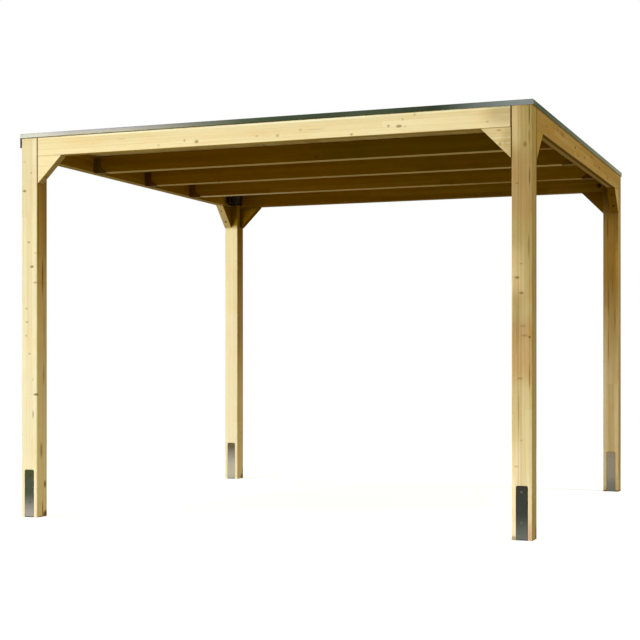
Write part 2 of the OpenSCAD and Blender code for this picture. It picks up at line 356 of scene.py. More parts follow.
class Timber(Finish):
    """Softwood in glued layers, each of boards end to end, and the fields that follow its grain.

    grain is the axis that the fibres follow, and stack the one across the layers. The odd
    factors keep the draws of pieces, layers and boards apart.
    """

    def __init__(self, name, seed, grain, stack, layers, length, **constants):
        super().__init__(name, **constants)
        low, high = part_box(name)
        middle = (layers - 1) / 2
        self.seed = seed
        self.length = length
        self.reach = (high - low) / 2
        self.layer = 2 * self.reach[stack] / layers
        self.around = self.axes((low + high) / 2)
        self.thick = self.around[stack]
        self.wide = self.around[X + Y + Z - grain - stack]
        self.along = self.around[grain] + seed * 3.17
        self.level = (self.thick * (LEVEL_INSET / self.layer) + (middle + 0.5)).floor()
        self.from_glue = (self.thick / self.layer + (middle + 0.5)).fract()
        self.depth = self.thick - (self.level - middle) * self.layer
        tooth = ((self.wide / FINGER_PITCH).fract() - 0.5).size() * (2 * FINGER_LENGTH)
        start = self.draws(self.level * 3.7 + seed * 11.3)[0]
        self.run = (self.along + tooth) / length + start
        board = self.run.floor()
        self.drawn = self.draws(board * 5.1 + self.level * 17.9 + seed * 2.3)
        self.tint = self.draws(board * 2.9 + self.level * 7.3 + seed * 5.9)

    def grained(self, kind, aside=None, onward=None):
        """Noise drawn out along the grain, moved aside and onward where that is given."""
        fine, coarse, detail, roughness = kind
        thick, along = self.thick * fine, self.along * coarse
        if aside is not None:
            thick = thick + aside
        if onward is not None:
            along = along + onward
        return self.noise(self.point(thick, self.wide * fine, along), 1.0, detail, roughness)

    def on_face(self, axis, side):
        """1 on one face of the piece and 0 inside it, with the step just under the face."""
        reach = self.reach[axis]
        return (self.around[axis] * side).rise(reach - FACE_DEEP, reach - FACE_NEAR)

    def knots(self, clear):
        """How far off the nearest knot is, in its own radii. Across the grain it is wider."""
        thick = self.thick * KNOT_ACROSS + 3.1 * self.seed
        place = self.point(thick, self.wide * KNOT_ACROSS, self.along * KNOT_ALONG)
        cell = self.add("TexVoronoi", {"feature": "F1"}, {"Vector": place, "Scale": 1.0})
        parts = self.add("SeparateColor", None, {0: cell.outputs["Color"]})
        size = KNOT_LEAST + KNOT_SPREAD * Field(parts.outputs[0]) ** 2.0
        gap = Field(cell.outputs["Distance"]) / size
        if clear is not None:
            axis, start, end = clear
            gap = gap + 6.0 * self.around[axis].rise(start, end)
        return gap

    def rings(self, gap, abreast):
        """The rings' late wood, and how strong each ring is. They bend round the knots."""
        face, edge = (self.wide, self.depth) if abreast else (self.depth, self.wide)
        pith_side = (self.drawn[0] - 0.5).sign()
        across = face - pith_side * (PITH_LEAST + PITH_SPREAD * self.drawn[1])
        beside = edge - (self.drawn[2] - 0.5) * PITH_ASIDE
        wander = self.grained(WANDER, self.drawn[0] * 9.0) - 0.5
        flow = 1.0 / (1.0 + gap * gap)
        radius = (across * across + beside * beside).root() + self.along * RING_TAPER
        rings = (radius + wander * RING_WANDER + flow * RING_BULGE) / RING
        growth = self.noise(self.point(rings * 0.23, self.drawn[1] * 40.0, 0.0), 1.0, 1.0)
        return rings.fract() ** LATE_POWER, growth

    def marked(self, marks):
        """How dark the listed marks are, knots and streaks and spots of painted shade, or None without
        any.
        """
        knots_and_shade = None
        for spot, radii, strength in marks:
            inverse = [0.0 if radius is None else 1.0 / radius for radius in radii]
            moved = [-spot[axis] * inverse[axis] for axis in (X, Y, Z)]
            scaled = self.add("VectorMath", {"operation": "MULTIPLY_ADD"},
                              {0: self.place, 1: tuple(inverse), 2: tuple(moved)})
            far = self.add("VectorMath", {"operation": "LENGTH"}, {0: scaled.outputs[0]})
            dark = Field(far.outputs["Value"]).fall(*MARK_EDGE) * strength
            knots_and_shade = dark if knots_and_shade is None else knots_and_shade.most(dark)
        return knots_and_shade

    def leant(self, low, high, added, side):
        """The shade that a lean adds."""
        shade = self.around[Z].rise(low, high) * added
        return shade * self.on_face(Y, side) if side else shade

    def striped(self, colour, bands, cloud):
        """The colour with its bands, which mostly paint light and shade, each uneven over its face."""
        for (axis, side, other), centre, half, tint, span in bands:
            off = (self.around[other] + (self.reach[other] - centre * MM)).size()
            share = off.fall(0.5 * half * MM, 1.1 * half * MM) * (0.8 + (cloud - 0.5) * 1.8)
            if span is not None:
                bottom, top = span
                share = share * self.around[Z].rise(bottom - SPAN_BLUR, bottom + SPAN_BLUR)
                share = share * self.around[Z].fall(top - SPAN_BLUR, top + SPAN_BLUR)
            colour = self.blend(share.held() * self.on_face(axis, side), colour, tint, "MULTIPLY")
        return colour

    def seamed(self, colour, seams):
        """The colour with the dark joints against other timbers, and any strip of painted shade among
        them.
        """
        for axis, place, width, strength in seams:
            close = (self.axes()[axis] - place).size().fall(0.6 * width, 1.1 * width)
            colour = self.blend(close * strength, colour, DEEP)
        return colour

    def glued(self, colour, abreast):
        """The colour with glue lines between the layers, and at the ends of glued boards."""
        glue = (0.5 - (self.from_glue - 0.5).size()) * self.layer
        line = glue.fall(0.5 * GLUE, 2.2 * GLUE)
        if not abreast:
            ends = (0.5 - (self.run.fract() - 0.5).size()) * self.length
            line = line.most(ends.fall(0.4 * GLUE, 1.8 * GLUE))
        return self.blend(line * 0.32, colour, UMBER)


def timber(name, seed, grain, stack, layers=LAMELLAS, tone=0.0, lean=None, cheeks=None, marks=(),
           clear=None, seams=(), bands=(), core=(HONEY, UMBER), figure=1.0, sheen=0.015, ruddy=0.6,
           length=BOARD_LENGTH, spread=0.10, abreast=False):
    """Dresses a piece in softwood with growth rings round a pith in each layer, and with knots.

    tone darkens the whole piece from 0 to 2, and lean adds (low, high, amount, side) up the
    piece, on all of it or on its front face (side -1) alone. On many pieces tone, lean, cheeks
    and bands paint shade and light into the colour, as said where each piece is made.
    cheeks gives single faces a tone at the bottom, one at the top and how much warmer they are.
    marks are listed knots, streaks and spots of painted shade: (place, radii, strength), and clear
    is the (axis, from, to) over which the knots that come by chance fade out.
    seams are dark joints against other timbers, and on the right beam a strip of painted shade:
    (axis, place, width, strength), and bands stripes of another tint on one face, as band() makes them.
    core holds the two colours of the wood where it is darkened, figure the rings' contrast,
    sheen the strength of its reflection and ruddy that of its reddish patches.
    length is that of the boards in a layer, and spread how much they differ in colour.
    abreast says that the layers are boards laid side by side and not glued on their faces.
    """
    wood = Timber(name, seed, grain, stack, layers, length,
                  Specular_IOR_Level=sheen, Specular_Tint=SHEEN)
    gap = wood.knots(clear)
    knot = gap.fall(*KNOT_EDGE)
    rim = (gap - 1.0).size().fall(*KNOT_RIM)
    knots_and_shade = wood.marked(marks)
    late, growth = wood.rings(gap, abreast)
    streak = wood.grained(STREAK, wood.level * 3.3)
    fibre = wood.grained(FIBRE)
    fleck = wood.grained(FLECK, None, 4.0).rise(0.63, 0.75)
    cloud = wood.grained(CLOUD, None, 9.0)
    blush = wood.grained(BLUSHES, None, 5.0)

    # How amber the wood is, and how dark
    amber = late * (AMBER_LATE + AMBER_GROWTH * growth) * figure
    amber = amber + (streak - 0.5) * (AMBER_STREAK + AMBER_FIGURE * figure)
    amber = amber + (fibre - 0.5) * AMBER_FIBRE + fleck * AMBER_FLECK + AMBER_ALL
    amber = amber + (wood.tint[0] - 0.5) * AMBER_BOARD * spread
    shade = tone + (wood.tint[1] - 0.5) * spread + (cloud - 0.5) * 0.10
    if lean is not None:
        shade = shade + wood.leant(*lean)
    amber = amber + shade.least(0.0)
    for (axis, side), (below, above, warmth) in (cheeks or {}).items():
        share = wood.on_face(axis, side)
        own = wood.around[Z].rise(*CHEEK_SPAN) * (above - below) + below + (cloud - 0.5) * 0.15
        shade = shade + share * (own - shade)
        amber = amber + share * warmth
    if knots_and_shade is not None:
        amber = amber + knots_and_shade.least(1.0) * 0.3
        shade = shade + knots_and_shade.least(1.0) * 0.1

    pale = wood.blend(amber.held(), PALE, AMBER)
    dark = wood.blend(amber.held(), core[0], core[1])
    colour = wood.blend(shade.held(), pale, dark)
    colour = wood.blend((shade - 1.0).held(), colour, DEEP)
    colour = wood.blend(blush.rise(0.48, 0.72) * ruddy, colour, BLUSH, "MULTIPLY")
    colour = wood.blend(knot * (0.62 + 0.2 * late), colour, KNOT)
    colour = wood.blend(rim * 0.35, colour, BARK)
    if knots_and_shade is not None:
        colour = wood.blend(knots_and_shade.least(1.0) * 0.72, colour, KNOT_AND_SHADE_BROWN)
        colour = wood.blend(((knots_and_shade - 1.0) * 0.8).held(), colour, BARK)
    colour = wood.striped(colour, bands, cloud)
    colour = wood.seamed(colour, seams)
    if layers > 1:
        colour = wood.glued(colour, abreast)
    height = late * 0.45 + fibre * 0.55 + knot * 0.4 - rim * 0.3
    roughness = 0.60 + (fibre - 0.5) * 0.25 - late * 0.06 - knot * 0.12
    dress(name, wood.finish(colour, roughness.held(), height, 0.35 * MM))


post_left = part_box("post_front_left")[0]
post_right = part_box("post_front_right")[0]
post_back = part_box("post_back_left")[0]
beam_low, beam_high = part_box("beam_front")
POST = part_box("post_front_left")[1].x - post_left.x


def knot_and_shade_mark(x, z, wide, tall, strength):
    """A mark on the front faces, from its place and its half width and half height in millimetres;
    marks are knots, streaks and spots of painted shade.
    """
    return ((x, 0.0, z), (wide * MM, None, tall * MM), strength)


def post_knots_and_shade(post, spots):
    """Marks on a post's front face, knots, streaks and spots of painted shade, from their distances
    from its left edge in millimetres.
    """
    return [knot_and_shade_mark(post.x + across * MM, *spot) for across, *spot in spots]


def post_streaks(post, streaks):
    """Streaks on a post's right face, from their distances behind its front in millimetres."""
    return [((post.x + POST, post.y + across * MM, z), (8 * MM, wide * MM, tall * MM), strength)
            for across, z, wide, tall, strength in streaks]


def band(face, centre, half, tint, span=None):
    """A stripe of another tint on one face, faded out at its sides.

    face is its axis, its side and the axis across the stripe. centre is the stripe's distance
    from the piece's low edge along that axis, and half its half width, both in millimetres.
    span gives the heights from the piece's middle between which it lies, or None for all.
    """
    return (face, centre, half, (*tint, 1), span)


def wash(face, tint, span=None):
    """Another tint over the whole width of a post's face."""
    return band(face, WASH_MIDDLE, WASH_HALF, tint, span)


def painted_shade_rightward(length, left):
    """A band of painted shade that darkens a timber's front face towards its right end, to this share
    of its red.
    """
    return band(AHEAD, length / MM, 2000, (left, 0.52 + 0.5 * left, 1.0))


# Marks: place across the face (mm on posts, m on beams), height in m, half sizes in mm, strength

def left_post_marks():
    spots = [
        (22, 2.243, 9, 5, 0.35), (71, 2.172, 8, 6, 0.4), (22, 2.059, 13, 7, 0.9),
        (54, 1.735, 11, 7, 0.55), (104, 1.667, 12, 6, 0.3), (77, 1.580, 13, 8, 0.95),
        (101, 1.480, 14, 6, 0.6), (37, 1.317, 9, 7, 0.5), (40, 1.232, 11, 6, 0.6),
        (35, 1.146, 9, 6, 0.5), (60, 1.032, 10, 6, 0.5), (85, 0.870, 6, 8, 0.3),
        (85, 0.649, 4, 26, 0.9),
    ]
    streaks = [
        (63, 1.52, 7, 110, 1.1), (12, 1.90, 9, 260, 0.45), (92, 1.85, 8, 240, 0.35),
        (76, 0.90, 6, 60, 0.9), (80, 1.20, 5, 130, 0.6), (48, 0.42, 14, 50, 0.7),
        (90, 0.205, 12, 22, 1.2), (62, 0.045, 6, 50, 1.0), (100, 0.010, 30, 26, 1.8),
        (50, 0.000, 34, 7, 1.5),
    ]
    arris = ((post_left.x + 107 * MM, post_left.y, 0.775), (18 * MM, 14 * MM, 7 * MM), 1.2)
    return post_knots_and_shade(post_left, spots) + [arris] + post_streaks(post_left, streaks)


def right_post_marks():
    spots = [
        (75, 2.175, 10, 15, 0.6), (31, 1.962, 9, 5, 0.4), (53, 1.520, 10, 4, 0.45),
        (31, 1.444, 13, 7, 0.85), (55, 1.359, 13, 7, 0.8), (64, 1.178, 16, 8, 0.3),
        (101, 1.117, 9, 6, 0.8), (72, 1.125, 20, 6, 0.4), (47, 0.890, 15, 6, 0.5),
        (55, 0.550, 6, 6, 0.4), (27, 0.406, 12, 6, 0.35), (8, 0.010, 22, 14, 0.7),
        (98, 2.340, 3, 60, 1.3), (98, 2.215, 3, 40, 0.7), (100, 2.000, 4, 45, 0.8),
        (95, 1.618, 5, 60, 0.5), (100, 0.895, 4, 70, 0.6), (40, 0.700, 3, 120, 0.5),
        (40, 1.250, 3, 160, 0.4), (13, 1.250, 3, 170, 0.25), (30, 1.220, 3, 150, 0.45),
    ]
    return post_knots_and_shade(post_right, spots) + post_streaks(post_right, [(100, 0.02, 20, 50, 1.3)])


def back_left_marks():
    streaks = [(98, 0.014, 30, 24, 1.8), (106, 0.05, 14, 40, 1.2), (30, 1.2, 5, 200, 0.5)]
    return post_streaks(post_back, streaks)


def back_right_marks():
    spots = [
        (33, 1.985, 4, 75, 1.5), (70, 1.60, 4, 110, 0.5), (88, 1.30, 5, 90, 0.4),
        (40, 1.10, 4, 140, 0.6), (40, 1.45, 5, 120, 0.6), (57, 0.003, 80, 10, 1.4),
        # The last one is painted shade over the top of the post's front face, under the roof.
        (40, 2.28, 90, 180, 0.8),
    ]
    return post_knots_and_shade(post_right, spots)


def front_beam_marks():
    spots = [
        (-0.915, 2.348, 30, 3, 0.25), (-0.661, 2.294, 8, 8, 0.3), (-0.485, 2.314, 8, 9, 0.5),
        (-0.405, 2.303, 13, 10, 0.8), (-0.010, 2.312, 11, 6, 0.35), (0.122, 2.308, 11, 10, 0.45),
        (0.360, 2.330, 60, 4, 0.25), (0.267, 2.332, 12, 8, 0.3), (0.583, 2.287, 9, 6, 0.7),
        (0.806, 2.322, 9, 8, 0.6), (0.868, 2.317, 17, 8, 0.9), (0.890, 2.354, 6, 9, 0.35),
        (0.960, 2.377, 9, 6, 0.4), (1.382, 2.311, 9, 7, 0.5), (0.905, 2.312, 5, 8, 0.25),
        # The last two are painted shade on the beam's right end, by the right front post.
        (1.500, 2.355, 135, 75, 0.40), (1.460, 2.390, 50, 24, 0.22),
    ]
    return [knot_and_shade_mark(*spot) for spot in spots]


def right_beam_marks():
    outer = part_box("beam_right")[1].x
    spots = [
        (-1.18, 2.335, 14, 7, 0.8), (-0.87, 2.360, 18, 7, 0.5), (-0.72, 2.355, 60, 14, 0.4),
        (-0.30, 2.338, 17, 10, 1.2), (-0.22, 2.300, 40, 10, 0.4), (0.03, 2.320, 24, 10, 0.6),
        (0.30, 2.360, 50, 12, 0.4), (0.61, 2.330, 22, 10, 0.8), (0.95, 2.300, 40, 12, 0.4),
    ]
    return [((outer, y, z), (10 * MM, long * MM, tall * MM), strength)
            for y, z, long, tall, strength in spots]


def front_knee_marks():
    spots = [
        (1.448, 2.259, 15, 5, 0.55), (1.453, 2.184, 11, 12, 0.45),
        # The last one is painted shade over the knee, as on the beam's right end.
        (1.480, 2.191, 6, 14, 0.40), (1.510, 2.200, 50, 90, 0.30),
    ]
    return [knot_and_shade_mark(*spot) for spot in spots]


# Bands and washes that paint light and shade on the posts' faces: spans painted paler or darker by how
# the light falls, and shaded strips along edges. The narrow stripes down the right front post's faces
# only darken the wood in lines.
POST_LIGHT_AND_SHADE = {
    "post_front_left": [
        wash(AHEAD, (0.935, 0.98, 1.10)),
        wash(AHEAD, (1.09, 1.06, 1.08), (-1.3, -0.85)),
        band(RIGHT, 14, 8, (0.92, 0.92, 0.88)),
        band(RIGHT, 64, 18, (1.0, 0.92, 0.84)),
        wash(RIGHT, (1.12, 1.14, 1.16), (-0.1, 0.45)),
        band(RIGHT, 104, 8, (0.80, 0.84, 0.94), (-1.4, 0.45)),
    ],
    "post_front_right": [
        band(AHEAD, 14, 46, (1.42, 1.45, 1.80), (0.97, 1.40)),
        wash(AHEAD, (0.94, 0.81, 0.86), (0.58, 0.93)),
        band(AHEAD, 20, 60, (1.42, 1.42, 1.70), (0.17, 0.41)),
        band(AHEAD, 8, 16, (1.16, 1.18, 1.30), (-1.15, -0.86)),
        band(AHEAD, 14, 60, (1.16, 1.18, 1.38), (-1.4, -0.66)),
        band(AHEAD, 105, 22, (1.14, 1.11, 1.26), (-1.4, -0.85)),
        wash(AHEAD, (0.90, 0.78, 0.72), (-0.32, 0.02)),
        band(AHEAD, 16, 5, (0.92, 0.92, 0.90), (-0.7, 0.15)),
        band(AHEAD, 36, 7, (0.90, 0.84, 0.80)),
        band(AHEAD, 53, 6, (0.84, 0.80, 0.76)),
        band(AHEAD, 101, 5, (0.85, 0.83, 0.78)),
        band(AHEAD, 100, 24, (0.84, 0.70, 0.72), (-1.4, -1.11)),
        wash(RIGHT, (1.02, 1.12, 1.28), (-1.4, 0.10)),
        wash(RIGHT, (0.84, 0.82, 0.68), (-1.4, -0.98)),
        band(RIGHT, 30, 10, (0.88, 0.90, 0.90)),
        band(RIGHT, 108, 16, (0.60, 0.65, 0.72)),
    ],
    "post_back_left": [
        wash(AHEAD, (1.03, 1.05, 1.16), (-1.4, 0.2)),
        wash(RIGHT, (0.92, 0.84, 0.74), (-1.4, 0.4)),
        wash(RIGHT, (1.65, 2.1, 2.5), (0.98, 1.4)),
        band(RIGHT, 8, 10, (0.78, 0.78, 0.72)),
        band(RIGHT, 102, 16, (0.78, 0.82, 0.92)),
    ],
    "post_back_right": [
        band(AHEAD, 10, 24, (1.12, 1.18, 1.40), (-1.4, 0.95)),
        wash(AHEAD, (0.97, 1.0, 1.35), (0.25, 0.95)),
        band(AHEAD, 102, 26, (1.20, 1.20, 1.26), (-1.1, 0.62)),
        band(AHEAD, 108, 16, (1.24, 1.26, 1.36), (0.0, 0.70)),
        wash(RIGHT, (0.86, 0.92, 1.12), (-1.4, 0.50)),
        wash(RIGHT, (0.84, 0.86, 1.0), (0.06, 0.38)),
        band(RIGHT, 58, 20, (0.62, 0.55, 0.44)),
    ],
}


def make_posts():
    """The posts, each with the tones of its right face from bottom to top as its cheek: painted shade
    on the side turned from the light. The lean is a painted shadow under the beam on the left back
    post's front face and painted shade towards the top of the left front post; on the right posts it
    darkens the wood towards the top.
    """
    clear = (Y, -POST / 2 + 30 * MM, -POST / 2 + 6 * MM)
    kinds = {
        "post_front_left": dict(
            tone=-0.28, lean=(-1.1, 1.0, 0.34, 0), cheek=(0.08, 0.80, 0.05), marks=left_post_marks(),
            core=(rgb(190, 148, 34), rgb(150, 108, 14))),
        "post_front_right": dict(
            tone=-0.04, lean=(-1.1, 0.7, 0.74, 0), cheek=(0.76, 0.78, 0.0), marks=right_post_marks(),
            core=(rgb(148, 124, 34), rgb(108, 84, 14))),
        "post_back_left": dict(
            tone=-0.22, lean=(0.878, 0.944, 1.3, -1), cheek=(0.08, 1.0, 0.2), marks=back_left_marks()),
        "post_back_right": dict(
            tone=0.52, lean=(-0.6, 0.6, 0.50, 0), cheek=(0.58, 0.62, 0.0), marks=back_right_marks(),
            core=(rgb(148, 116, 46), rgb(112, 82, 26))),
    }
    for seed, (name, kind) in enumerate(kinds.items(), 1):
        figure, ruddy = (1.0, 0.6) if name.endswith("left") else (1.6, 0.9)
        cheeks = {RIGHT[:2]: kind.pop("cheek")}
        timber(name, seed, Z, X, cheeks=cheeks, clear=clear, bands=POST_LIGHT_AND_SHADE[name], figure=figure,
               ruddy=ruddy, **kind)


def make_beams():
    """The beams. Their dark tones paint the shade on the faces turned inwards and on the right beam's
    outer face, and below is the tone of the underside, painted paler than the faces turned inwards, as
    lit from below.
    """
    kinds = {
        "beam_front": dict(
            grain=X, below=0.30, tone=0.0, marks=front_beam_marks(), clear=(Y, 0.5 * MM, -24 * MM),
            figure=0.55,
            bands=[
                # Painted light on the underside's left part and painted shade on its right part, and a
                # line of painted light along the top of the front face, where the trim's shadow falls.
                band(UNDER, 1000, 900, (1.42, 1.42, 1.25)),
                band(UNDER, 2270, 800, (0.84, 0.84, 0.62)),
                band((Y, -1, Z), 112, 11, (1.18, 1.36, 1.70)),
            ]),
        # Its dark tone and the band that dims it to the right paint the shade on its inner face; its
        # outer face keeps the plain tone.
        "beam_back": dict(
            grain=X, below=0.6, tone=1.0, cheeks={(Y, 1): OUTER},
            marks=[knot_and_shade_mark(1.478, 2.322, 19, 16, 2.3)], bands=[painted_shade_rightward(beam_high.x - beam_low.x, 0.82)]),
        # Its dark tone paints the shade on its inner face, and the band paints light on that face
        # towards the back; its outer face keeps the plain tone.
        "beam_left": dict(
            grain=Y, below=0.2, tone=1.0, cheeks={(X, -1): OUTER},
            bands=[band(RIGHT, 2925, 400, (1.6, 1.75, 3.0))]),
        # Its tone paints the shade on its outer face, turned from the light.
        "beam_right": dict(
            grain=Y, below=0.45, tone=0.94, marks=right_beam_marks(), clear=(X, -0.5 * MM, 24 * MM),
            core=(rgb(158, 127, 72), rgb(122, 92, 44)), ruddy=1.0),
    }
    for seed, (name, kind) in enumerate(kinds.items(), 11):
        grain, below = kind.pop("grain"), kind.pop("below")
        low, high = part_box(name)
        seams = [(grain, low[grain], SEAM, SEAM_DEPTH), (grain, high[grain], 1.5 * SEAM, SEAM_DEPTH)]
        if name == "beam_right":
            # Not a joint: a strip of painted shade along the underside by the outer edge.
            seams.append((X, high.x - 18 * MM, 14 * MM, 0.7))
        cheeks = {**kind.pop("cheeks", {}), (Z, -1): (below, below, 0.2)}
        timber(name, seed, grain, Z, cheeks=cheeks, seams=seams, sheen=0.0, **kind)


def make_rafters():
    """The rafters: how dark each is, which paints the shade under the roof, and to what share the
    painted shade on its front face deepens towards its right end. Their undersides are painted paler,
    as lit from below, the back one's with painted shade towards its right end and more painted light
    towards its left.
    """
    rafters = {"rafter_front": (1.20, 0.70), "rafter_middle": (1.04, 0.80), "rafter_back": (1.0, 0.84)}
    for seed, (name, (tone, left)) in enumerate(rafters.items(), 21):
        low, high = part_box(name)
        bands = [band(UNDER, 0, EVERYWHERE, (1.16, 1.18, 1.40)), painted_shade_rightward(high.x - low.x, left)]
        if name == "rafter_back":
            bands.append(band(UNDER, (high.x - low.x) / MM, 1100, (0.50, 0.42, 0.28)))
            bands.append(band(UNDER, 300, 700, (1.30, 1.45, 2.0)))
        timber(name, seed, X, Z, tone=tone, cheeks={(Z, -1): (0.05, 0.05, 0.0)}, bands=bands,
               sheen=0.0)


def make_knees():
    """The knees: how dark each is, which paints the shade on the knees under the roof and on faces
    turned from the light, its joint under the beam, and single faces that differ: outer and front faces
    kept paler than the shaded rest, and the inner face of the left back knee painted darker.
    """
    kinds = {
        "knee_front_left": dict(tone=0.54, joint=0.15, cheeks={(Y, -1): (0.02, 0.02, 0.0)}),
        "knee_front_right": dict(tone=0.22, joint=0.6, marks=front_knee_marks()),
        "knee_back_left": dict(tone=1.5, cheeks={(Y, 1): OUTER}),
        "knee_back_right": dict(tone=1.5, cheeks={(Y, 1): OUTER}),
        "knee_left_front": dict(tone=0.8, cheeks={(X, -1): OUTER}),
        "knee_left_back": dict(tone=0.60, cheeks={(X, 1): (1.3, 1.3, 0.0)}),
        "knee_right_front": dict(tone=0.95, core=(rgb(156, 122, 48), rgb(118, 84, 24))),
        "knee_right_back": dict(tone=1.22, cheeks={(X, 1): (0.72, 0.72, 0.0)},
                                core=(rgb(146, 112, 34), rgb(110, 78, 12))),
    }
    for seed, (name, kind) in enumerate(kinds.items(), 31):
        grain = along_of(name)
        low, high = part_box(name)
        post_side = min(low[grain], high[grain], key=lambda place: -abs(place))
        joint = kind.pop("joint", KNEE_JOINT)
        seams = [(Z, beam_low.z, SEAM / 2, joint), (grain, post_side, SEAM, SEAM_DEPTH)]
        timber(name, seed, grain, X + Y - grain, 1, seams=seams, sheen=0.0, **kind)


def make_roof_boards():
    """Boards side by side from front to back, on one plate."""
    low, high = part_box("roof_boards")
    count = round((high.x - low.x) / BOARD_COVER)
    timber("roof_boards", 41, Y, X, count, 0.25, length=WHOLE_LENGTH, spread=0.22, abreast=True)


# ---- Metal, rubber and plastic ----

def anchor_steel(name, top, high, low, reach):
    """Zinc-coated flat steel: one colour above and another below, and a third at the plate's top. These
    colours paint the reflections that the steel shows.
    """
    finish = Finish(name, Metallic=1.0)
    x, y, z = finish.axes()
    cloud = finish.noise(finish.place, 38.0, 3.0, 0.6)
    brushed = finish.noise(finish.point(x * 900.0, y * 900.0, z * 14.0), 1.0, 2.0)
    share = z.rise(*reach) - (cloud - 0.5) * 0.16 - (brushed - 0.5) * 0.12
    colour = finish.blend(share.held(), low, high)
    colour = finish.blend(z.rise(0.22, 0.30) * 0.7, colour, top)
    roughness = 0.42 + (cloud - 0.5) * 0.25 + (brushed - 0.5) * 0.15
    return finish.finish(colour, roughness.held(), brushed * 0.5 + cloud * 0.5, 0.15 * MM)


def fixing_steel():
    """Plain bright steel of the nails, a little tarnished."""
    finish = Finish("fixing_steel", Metallic=1.0)
    cloud = finish.noise(finish.place, 260.0, 2.0)
    colour = finish.blend(cloud, rgb(50, 49, 46), rgb(84, 83, 79))
    return finish.finish(colour, 0.34 + cloud * 0.2, cloud, 0.1 * MM)


def hanger_steel(name, dark, light):
    """Dark coated sheet steel with the slight dimples of a sprayed coat."""
    finish = Finish(name, Specular_IOR_Level=0.02)
    cloud = finish.noise(finish.place, 22.0, 2.0)
    dimple = finish.noise(finish.place, 700.0, 1.0)
    colour = finish.blend(cloud, dark, light)
    return finish.finish(colour, 0.62 + (dimple - 0.5) * 0.2, dimple, 0.08 * MM)


def trim_metal():
    """Folded sheet with a dull oxide skin. Its paler parts are a painted reflection of the lamps and
    the white room: on the left of the front, at its right end and towards the back.
    """
    finish = Finish("trim_metal", Metallic=1.0, Specular_Tint=(0.62, 0.68, 0.55, 1.0))
    x, y, z = finish.axes()
    cloud = finish.noise(finish.place, 3.2, 3.0, 0.6)
    speck = finish.noise(finish.place, 90.0, 2.0)
    rolled = finish.noise(finish.point(x * 2.0, y * 2.0, z * 400.0), 1.0, 1.0)
    share = (cloud - 0.5) * 0.8 + (speck - 0.5) * 0.3 + 0.3
    low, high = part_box("trim_front")
    upper = z.rise(high.z - 17 * MM, high.z - 7 * MM)
    right = x.rise(0.5, 1.2)
    front = y.fall(*TRIM_CORNER)
    # Painted reflection: paler on the left of the front, at its right end and towards the back.
    painted_reflection = x.fall(-1.0, 0.1) * 0.8 + x.rise(1.0, 1.75) * front * 1.2 + y.rise(-1.45, 1.5) * 1.4
    pale = finish.blend(upper, rgb(101, 98, 86), rgb(95, 92, 94))
    for part, tint in ((x.fall(-1.6, -1.2), (106, 105, 98)), (right, (104, 99, 77)),
                       (right * y.rise(0.8, 1.5), (132, 127, 102)), (right * front, (110, 116, 113))):
        pale = finish.blend(part, pale, rgb(*tint))
    # The right side is painted darker near its front corner, part of the painted reflection.
    share = share - right * y.rise(*TRIM_CORNER) * y.fall(-1.3, -0.7)
    colour = finish.blend(share.held(), rgb(34, 41, 28), rgb(58, 65, 48))
    colour = finish.blend((painted_reflection + (cloud - 0.5) * 0.2).held(), colour, pale)
    leg = x.fall(-1.630, -1.624) * z.fall(low.z - 2 * MM, low.z + 2 * MM)
    colour = finish.blend(leg, colour, rgb(112, 104, 76))
    roughness = 0.40 + (cloud - 0.5) * 0.2 + (rolled - 0.5) * 0.12
    return finish.finish(colour, roughness.held(), rolled * 0.6 + speck * 0.4, 0.12 * MM)


def roof_rubber():
    """Matt sheet with a faint weave pressed in, chalky in places."""
    finish = Finish("roof_rubber")
    cloud = finish.noise(finish.place, 1.7, 4.0, 0.6)
    grit = finish.noise(finish.place, 240.0, 2.0)
    share = cloud * 1.4 - 0.3 + (grit - 0.5) * 0.5
    colour = finish.blend(share.held(), rgb(44, 46, 48), rgb(84, 86, 86))
    return finish.finish(colour, 0.72 + (cloud - 0.5) * 0.25, grit + cloud * 3.0, 0.25 * MM)


def gloss_plastic():
    """Dark moulded plastic with pale bands where the light catches it."""
    finish = Finish("gloss_plastic")
    cloud = finish.noise(finish.place, 30.0, 2.0)
    ripple = finish.noise(finish.place, 120.0, 1.0)
    x, y, z = finish.axes()
    glint = finish.noise(finish.point(x * 70.0, y * 12.0, z * 3.0), 1.0, 1.0).rise(0.5, 0.66)
    colour = finish.blend(cloud, rgb(16, 7, 5), rgb(26, 14, 12))
    colour = finish.blend(glint * 0.8, colour, rgb(66, 50, 52))
    return finish.finish(colour, 0.17 + (cloud - 0.5) * 0.12, ripple, 0.06 * MM)


def screw_steel():
    """Dark yellow zinc, mottled a little."""
    finish = Finish("screw_steel", Metallic=1.0)
    cloud = finish.noise(finish.place, 300.0, 2.0)
    colour = finish.blend(cloud, rgb(84, 74, 46), rgb(120, 108, 72))
    return finish.finish(colour, 0.45 + (cloud - 0.5) * 0.2, cloud, 0.08 * MM)


